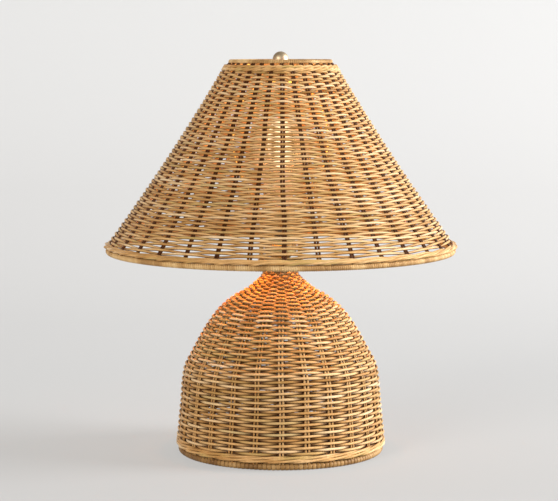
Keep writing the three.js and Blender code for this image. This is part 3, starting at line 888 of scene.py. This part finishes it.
thread_line += [(threads - 0.0003, base_high.z - 0.0022), (threads, base_high.z - 0.0008),
                (threads - 0.0004, base_high.z), (threads - 0.0010, base_high.z), (0, base_high.z - 0.0005)]
nickel = hard_finish("nickel plate", (0.66, 0.64, 0.60), (0.50, 0.48, 0.45), 1.0, 0.25)
turned("nickel_screw_base", "bulb_screw_base", thread_line, nickel, "nickel_shell", "bulb", 0, 48)
tip_low, tip_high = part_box("bulb_contact")
turned("bulb_tip", "bulb_contact", [
    (0, tip_low.z), (0.0028, tip_low.z), (tip_high.x, tip_high.z), (0, tip_high.z)],
    brass, "brass", "bulb", 0.0004, 32)

# ---------------------------------------------------------------- Harp
# One brass wire is bowed round the bulb, its legs locked to the saddle by sliding sleeves.
# The bush brazed on at the top holds the stud, which turns in it.

wire_low, wire_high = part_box("harp_wire")
wire = wire_high.y
leg_foot, harp_top = wire_low.z, wire_high.z - wire
bow_at = leg_foot + 0.032
half_width = wire_high.x - wire
widest = (bow_at + harp_top) / 2 + 0.014


def bow(a, b, c, d):
    """Points along a cubic curve, without its last."""
    t = np.linspace(0, 1, 40, endpoint=False)[:, None]
    a, b, c, d = (np.array(corner) for corner in (a, b, c, d))
    return (1 - t) ** 3 * a + 3 * (1 - t) ** 2 * t * b + 3 * (1 - t) * t**2 * c + t**3 * d


side_line = np.vstack([
    [(prong_x, leg_foot), (prong_x, (leg_foot + bow_at) / 2)],
    bow((prong_x, bow_at), (prong_x, bow_at + 0.028), (half_width, widest - 0.046), (half_width, widest)),
    bow((half_width, widest), (half_width, widest + 0.044), (0.032, harp_top), (0.009, harp_top)),
    [(0.009, harp_top)]])
whole_line = np.vstack([side_line, side_line[::-1] * (-1, 1)])
wire_points = np.stack([whole_line[:, 0], 0 * whole_line[:, 0], whole_line[:, 1]], axis=1)
bow_mesh = cane_mesh("harp_bow", [(wire_points, 1.0)], 2 * wire, brass, 4)
finish_piece("harp_bow", bow_mesh, "harp", "brass", "harp_wire")
sleeve_bore, sleeve_step = 0.0022, 0.0006
for side, body in ((-1, "sleeve_left"), (1, "sleeve_right")):
    node = f"harp_{body}"
    low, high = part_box(node)
    outer = (high.x - low.x) / 2
    barrel = outer - sleeve_step
    turned(f"{body}_tube", node, [
        (sleeve_bore, low.z), (outer, low.z), (outer, low.z + 0.0016), (barrel, low.z + 0.0022),
        (barrel, high.z - 0.0010), (barrel - 0.0004, high.z), (sleeve_bore, high.z)],
        brass, "brass", body, 0.0002, 32, Matrix.Translation((side * prong_x, 0, 0)))
low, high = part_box("harp_bush")
stud_way, way_floor = 0.0027, high.z - 0.0040
turned("harp_top_bush", "harp_bush", [
    (0, low.z), (high.x - 0.0008, low.z), (high.x, low.z + 0.0008), (high.x, high.z - 0.0030),
    (0.0048, high.z), (stud_way, high.z), (stud_way, way_floor), (0, way_floor)], brass, "brass", "harp")
stud_low, stud_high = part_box("harp_stud")
seat_top = stud_high.z - 0.012
seat_foot, shank = seat_top - 0.002, 0.0022
stud_line = [(0, stud_low.z), (shank, stud_low.z), (shank, seat_foot),
             (stud_high.x, seat_foot), (stud_high.x, seat_top), (0.0034, seat_top)]
for ridge in range(24):
    stud_line.append((0.0031 if ridge % 2 else 0.0027, seat_top + 0.0002 + ridge * 0.00049))
stud_line += [(0.0024, stud_high.z), (0, stud_high.z)]
turned("threaded_stud", "harp_stud", stud_line, brass, "brass", "stud", 0, 40)

# ---------------------------------------------------------------- Shade stakes
# Thirty-three pairs of round cane, a little thicker than the base's, run from the lower
# hoop to the upper one, and draw in a little between the two.

shade_weaver = 0.0030
shade_pairs = 33
shade_rod = 0.0027
shade_turned = math.radians(1.2)


def shade_outline():
    """From the lower rim to the upper one: a short upright band, then the hollow side."""
    low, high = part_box("shade_weave")
    wide = high.x
    foot = wide - 0.0055
    narrow = 0.331 * wide
    wall_low, wall_high = low.z + 0.008, high.z - 0.004
    points = [(wide - 0.0004, low.z), (wide - 0.0012, low.z + 0.004)]
    for step in range(7):
        t = step / 6
        middle = (foot + narrow) / 2 - 0.0069
        radius = (1 - t) ** 2 * foot + 2 * t * (1 - t) * middle + t**2 * narrow
        points.append((radius, wall_low + (wall_high - wall_low) * t))
    points.append((narrow - 0.0026, high.z))
    return points


shade_wall = Wall(shade_outline(), 0.64)
# The shade's stakes are painted dark over their outer faces as well: painted shade for the shadow they stand
# in behind the weaver.
shade_stakes = stakes(
    "shade_stakes", shade_wall, shade_pairs, shade_turned, shade_rod, shade_weaver, 0.0028,
    (hoop_centre("shade_bottom_binding"), hoop_centre("shade_top_binding")),
    cane_material("shade stake cane", 0.25, straw_tones, shade_pairs), 1.0, 0.9)
finish_piece("shade_stakes", shade_stakes, "shade", "rattan_core", "shade_weave")

# ---------------------------------------------------------------- Shade weaver
# Woven as the base is, a little more openly towards the lower rim,
# where daylight shows beside the stakes. Made as three runs, joined end to end.

shade_start = 0.0098
shade_stop = shade_wall.length - 0.0078
open_rows, open_rise, close_rise = 5, 0.0035, 0.0031
opened = shade_start + open_rows * open_rise
halfway = opened + (shade_stop - opened) * 0.42
shade_cane = cane_material("shade weaver cane", 36.0, straw_tones)
rows_woven = 0
for name, start, stop, rise, thin, fullness, ride, seed in (
        ("shade_weaver_lower", shade_start, opened, open_rise, 1.0, 1.5, -0.1, 131),
        ("shade_weaver_middle", opened, halfway, close_rise, 0.98, 1.7, -0.1, 151),
        ("shade_weaver_upper", halfway, shade_stop, close_rise, 0.95, 1.7, -0.1, 171)):
    rows = round((stop - start) / rise)
    strand = weaver(
        shade_wall, shade_pairs, shade_turned, shade_rod, shade_weaver,
        start, stop, (stop - start) / rows, fullness, ride, seed, rows_woven)
    rows_woven += rows
    mesh = woven(name, [strand], shade_weaver * thin, shade_wall, shade_cane, 0.6, 0.9)
    finish_piece(name, mesh, "shade", "rattan_core")

shade_band_rise = 0.0036
for name, start, seed in (
        ("shade_lower_band", 0.0006, 211),
        ("shade_upper_band", shade_wall.length - 0.0073, 241)):
    strands = band(shade_wall, shade_pairs, shade_turned, shade_weaver, start, shade_band_rise, seed)
    finish_piece(
        name, woven(name, strands, shade_weaver, shade_wall, band_cane, 0.6, 0.5), "shade", "rattan_core")

# ---------------------------------------------------------------- Shade rims
# Each rim of the shade is a steel hoop wound with narrow peel, finer than the foot's.
# The turns lean one way on the lower rim and the other way on the upper one.

rim_peel = peel_material("narrow rattan peel", [
    (0.10, (0.26, 0.13, 0.042)), (0.35, (0.42, 0.240, 0.088)),
    (0.60, (0.56, 0.350, 0.145)), (0.90, (0.70, 0.490, 0.245))])
rim_strip, rim_slant = 0.0024, 0.16
wrapped_hoop("shade_lower_winding", "shade_bottom_binding", rim_peel, rim_strip, rim_slant, 10, 5, "shade")
wrapped_hoop("shade_upper_winding", "shade_top_binding", rim_peel, rim_strip, -rim_slant, 10, 7, "shade")

# ---------------------------------------------------------------- Spider
# A brass washer sits on the stud and takes the shade's weight.
# Three brass wires brazed to it rise to the upper hoop.

washer_low, washer_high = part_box("spider_washer")
washer, washer_bore = washer_high.x, 0.0035
turned("spider_plate", "spider_washer", [
    (washer_bore, washer_low.z), (washer, washer_low.z), (washer, washer_high.z),
    (washer_bore, washer_high.z)], brass, "brass", "shade", 0.0004, 48)
arm_low, arm_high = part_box("spider_arm_1")
arm_wire = (arm_high.x - arm_low.x) / 2
arm_foot, arm_end = arm_low.z + arm_wire, arm_high.z - arm_wire
level_run = 0.014
arm_line = np.vstack([
    bow((arm_low.y, arm_foot), (arm_low.y + level_run, arm_foot),
        (arm_high.y - level_run, arm_end), (arm_high.y, arm_end)),
    [(arm_high.y, arm_end)]])
for arm in range(3):
    turn = math.pi / 2 + arm * 2 * math.pi / 3
    out, up = arm_line.T
    points = np.stack([out * math.cos(turn), out * math.sin(turn), up], axis=1)
    mesh = cane_mesh(f"spider_wire_{arm + 1}", [(points, 1.0)], 2 * arm_wire, brass, 3)
    finish_piece(f"spider_wire_{arm + 1}", mesh, "shade", "brass", f"spider_arm_{arm + 1}")

# ---------------------------------------------------------------- Finial
# A small ball is turned in brass and given a satin antique finish.
# It screws down on the stud and holds the shade.

champagne = hard_finish("champagne brass", (0.48, 0.385, 0.26), (0.33, 0.25, 0.155), 1.0, 0.5)
foot_low, ball_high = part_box("finial")
ball = ball_high.x
ball_middle = ball_high.z - ball
ball_neck, finial_bore, bore_end = 0.0046, 0.0035, foot_low.z + 0.0100
start = -math.acos(ball_neck / ball)
finial_line = [(0, bore_end), (finial_bore, bore_end), (finial_bore, foot_low.z),
               (0.0062, foot_low.z), (0.0066, foot_low.z + 0.0005), (0.0062, foot_low.z + 0.0013),
               (0.0050, foot_low.z + 0.0018)]
for step in range(25):
    angle = start + step / 24 * (math.pi / 2 - start)
    finial_line.append((ball * math.cos(angle) if step < 24 else 0, ball_middle + ball * math.sin(angle)))
turned("finial_ball", "finial", finial_line, champagne, "champagne_brass", "finial", 0, 64)

# ---------------------------------------------------------------- Stage
# The lamp stands on a pale sweep that runs from floor to backdrop in one curve.
# A broad lamp lights it from the right, a softer one from the front left, and the bulb from inside.

sweep_front, bend_start, bend, sweep_top, sweep_half = -3.0, 1.1, 0.7, 3.0, 4.0
sweep = bmesh.new()
profile = [(sweep_front, 0.0), (bend_start, 0.0)]
for step in range(1, 13):
    angle = step / 12 * math.pi / 2
    profile.append((bend_start + bend * math.sin(angle), bend - bend * math.cos(angle)))
profile.append((bend_start + bend, sweep_top))
row = [sweep.verts.new((-sweep_half, y, z)) for y, z in profile]
edges = [sweep.edges.new(pair) for pair in zip(row, row[1:])]
moved = vertices(bmesh.ops.extrude_edge_only(sweep, edges=edges)["geom"])
bmesh.ops.translate(sweep, verts=moved, vec=(2 * sweep_half, 0, 0))
sweep.normal_update()
for face in sweep.faces:
    if face.normal.z < -0.01 or face.normal.y > 0.01:
        face.normal_flip()


def sweep_material():
    """Matt paint, brightened for the camera more than for the lamps by a painted wash of light, and clear
    from behind.
    """
    made, tree, shader = material("pale sweep")
    place = add(tree, "ShaderNodeSeparateXYZ", Vector=own_place(tree))
    back = add(tree, "ShaderNodeMapRange", Value=place.outputs["Y"], **{
        "From_Min": -0.4, "From_Max": bend_start + bend}).outputs[0]
    paint = ramp(tree, back, [
        (0.0, (0.38, 0.385, 0.385)), (0.6, (0.40, 0.40, 0.40)), (1.0, (0.44, 0.44, 0.44))])
    tree.links.new(paint, shader.inputs["Base Color"])
    shader.inputs["Roughness"].default_value = 0.85
    # A painted wash of light that the camera and reflections see: paler towards the backdrop and towards the
    # right, where the key lamp stands.
    painted_light_wash = ramp(tree, back, [
        (0.1, (0.74, 0.73, 0.71)), (0.6, (0.84, 0.83, 0.81)), (0.9, (0.87, 0.86, 0.84)),
        (1.0, (0.97, 0.965, 0.945))])
    across = add(tree, "ShaderNodeMapRange", Value=place.outputs["X"], **{
        "From_Min": -0.8, "From_Max": 0.8, "To_Min": 0.93, "To_Max": 1.05}).outputs[0]
    seen = add(tree, "ShaderNodeEmission", Color=painted_light_wash, Strength=across)
    rays = add(tree, "ShaderNodeLightPath").outputs
    looked_at = maths(tree, "MAXIMUM", rays["Is Camera Ray"], rays["Is Glossy Ray"])
    looked_at = maths(tree, "MAXIMUM", looked_at, rays["Is Transmission Ray"])
    front = add(tree, "ShaderNodeMixShader", i0=maths(tree, "MULTIPLY", looked_at, 0.6),
                i1=shader.outputs[0], i2=seen.outputs[0])
    backfacing = add(tree, "ShaderNodeNewGeometry").outputs["Backfacing"]
    from_behind = maths(tree, "MULTIPLY", backfacing, rays["Is Camera Ray"])
    clear = add(tree, "ShaderNodeBsdfTransparent").outputs[0]
    whole = add(tree, "ShaderNodeMixShader", i0=from_behind, i1=front.outputs[0], i2=clear)
    tree.links.new(whole.outputs[0], tree.nodes["Material Output"].inputs["Surface"])
    return made


stage_floor = place_object("stage_sweep", finished_mesh("sweep", sweep, sweep_material(), 60))
stage_floor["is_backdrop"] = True


def lamp(name, kind, place, power, colour):
    """A light and its object, at that place."""
    light = bpy.data.lights.new(name, kind)
    light.energy = power
    light.color = colour
    holder = place_object(name, light)
    holder.location = place
    return light, holder


lit_middle = Vector((0, 0, 0.22))
for name, place, size, power, colour in (
        ("key", Vector((4.8, -0.2, 1.7)), 3.0, 640, (0.98, 0.98, 1.0)),
        ("fill", Vector((-2.6, -3.8, 1.8)), 2.4, 220, (1.0, 0.97, 0.93))):
    light, holder = lamp(name, "AREA", place, power, colour)
    light.shape = "DISK"
    light.size = size
    holder.rotation_euler = (lit_middle - place).to_track_quat("-Z", "Y").to_euler()
bulb_light, bulb_holder = lamp("bulb light", "POINT", (0, 0, core_middle), 4.0, (1.0, 0.42, 0.11))
bulb_light.shadow_soft_size = 0.028
bulb_holder.visible_camera = False
down_light, down_holder = lamp("bulb light down", "SPOT", (0, 0, middle), 20, (1.0, 0.33, 0.045))
down_light.shadow_soft_size = 0.045
down_light.spot_size = math.radians(46)
down_light.spot_blend = 1.0
down_holder.visible_camera = False
world = bpy.data.worlds.new("soft light")
world.use_nodes = True
air = world.node_tree
air.nodes["Background"].inputs["Color"].default_value = (1.0, 0.99, 0.98, 1)
rays = add(air, "ShaderNodeLightPath").outputs
mirrored = maths(air, "MULTIPLY", rays["Is Glossy Ray"], 0.28)
plain = maths(air, "MULTIPLY", rays["Is Camera Ray"], 0.52)
strength = maths(air, "ADD", maths(air, "ADD", mirrored, plain), 0.22)
air.links.new(strength, air.nodes["Background"].inputs["Strength"])
bpy.context.scene.world = world
bpy.context.scene.view_settings.view_transform = "Standard"

camera = bpy.data.cameras.new("camera")
camera.sensor_width = 36.0
camera.lens = 127.6774
camera.shift_x = -0.00287
view = place_object("camera", camera)
view.location = (0.0, -2.298, 0.4754)
looks_down = math.radians(5.95)
view.rotation_euler = (math.pi / 2 - looks_down, 0, 0)
bpy.context.scene.camera = view

low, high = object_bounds()
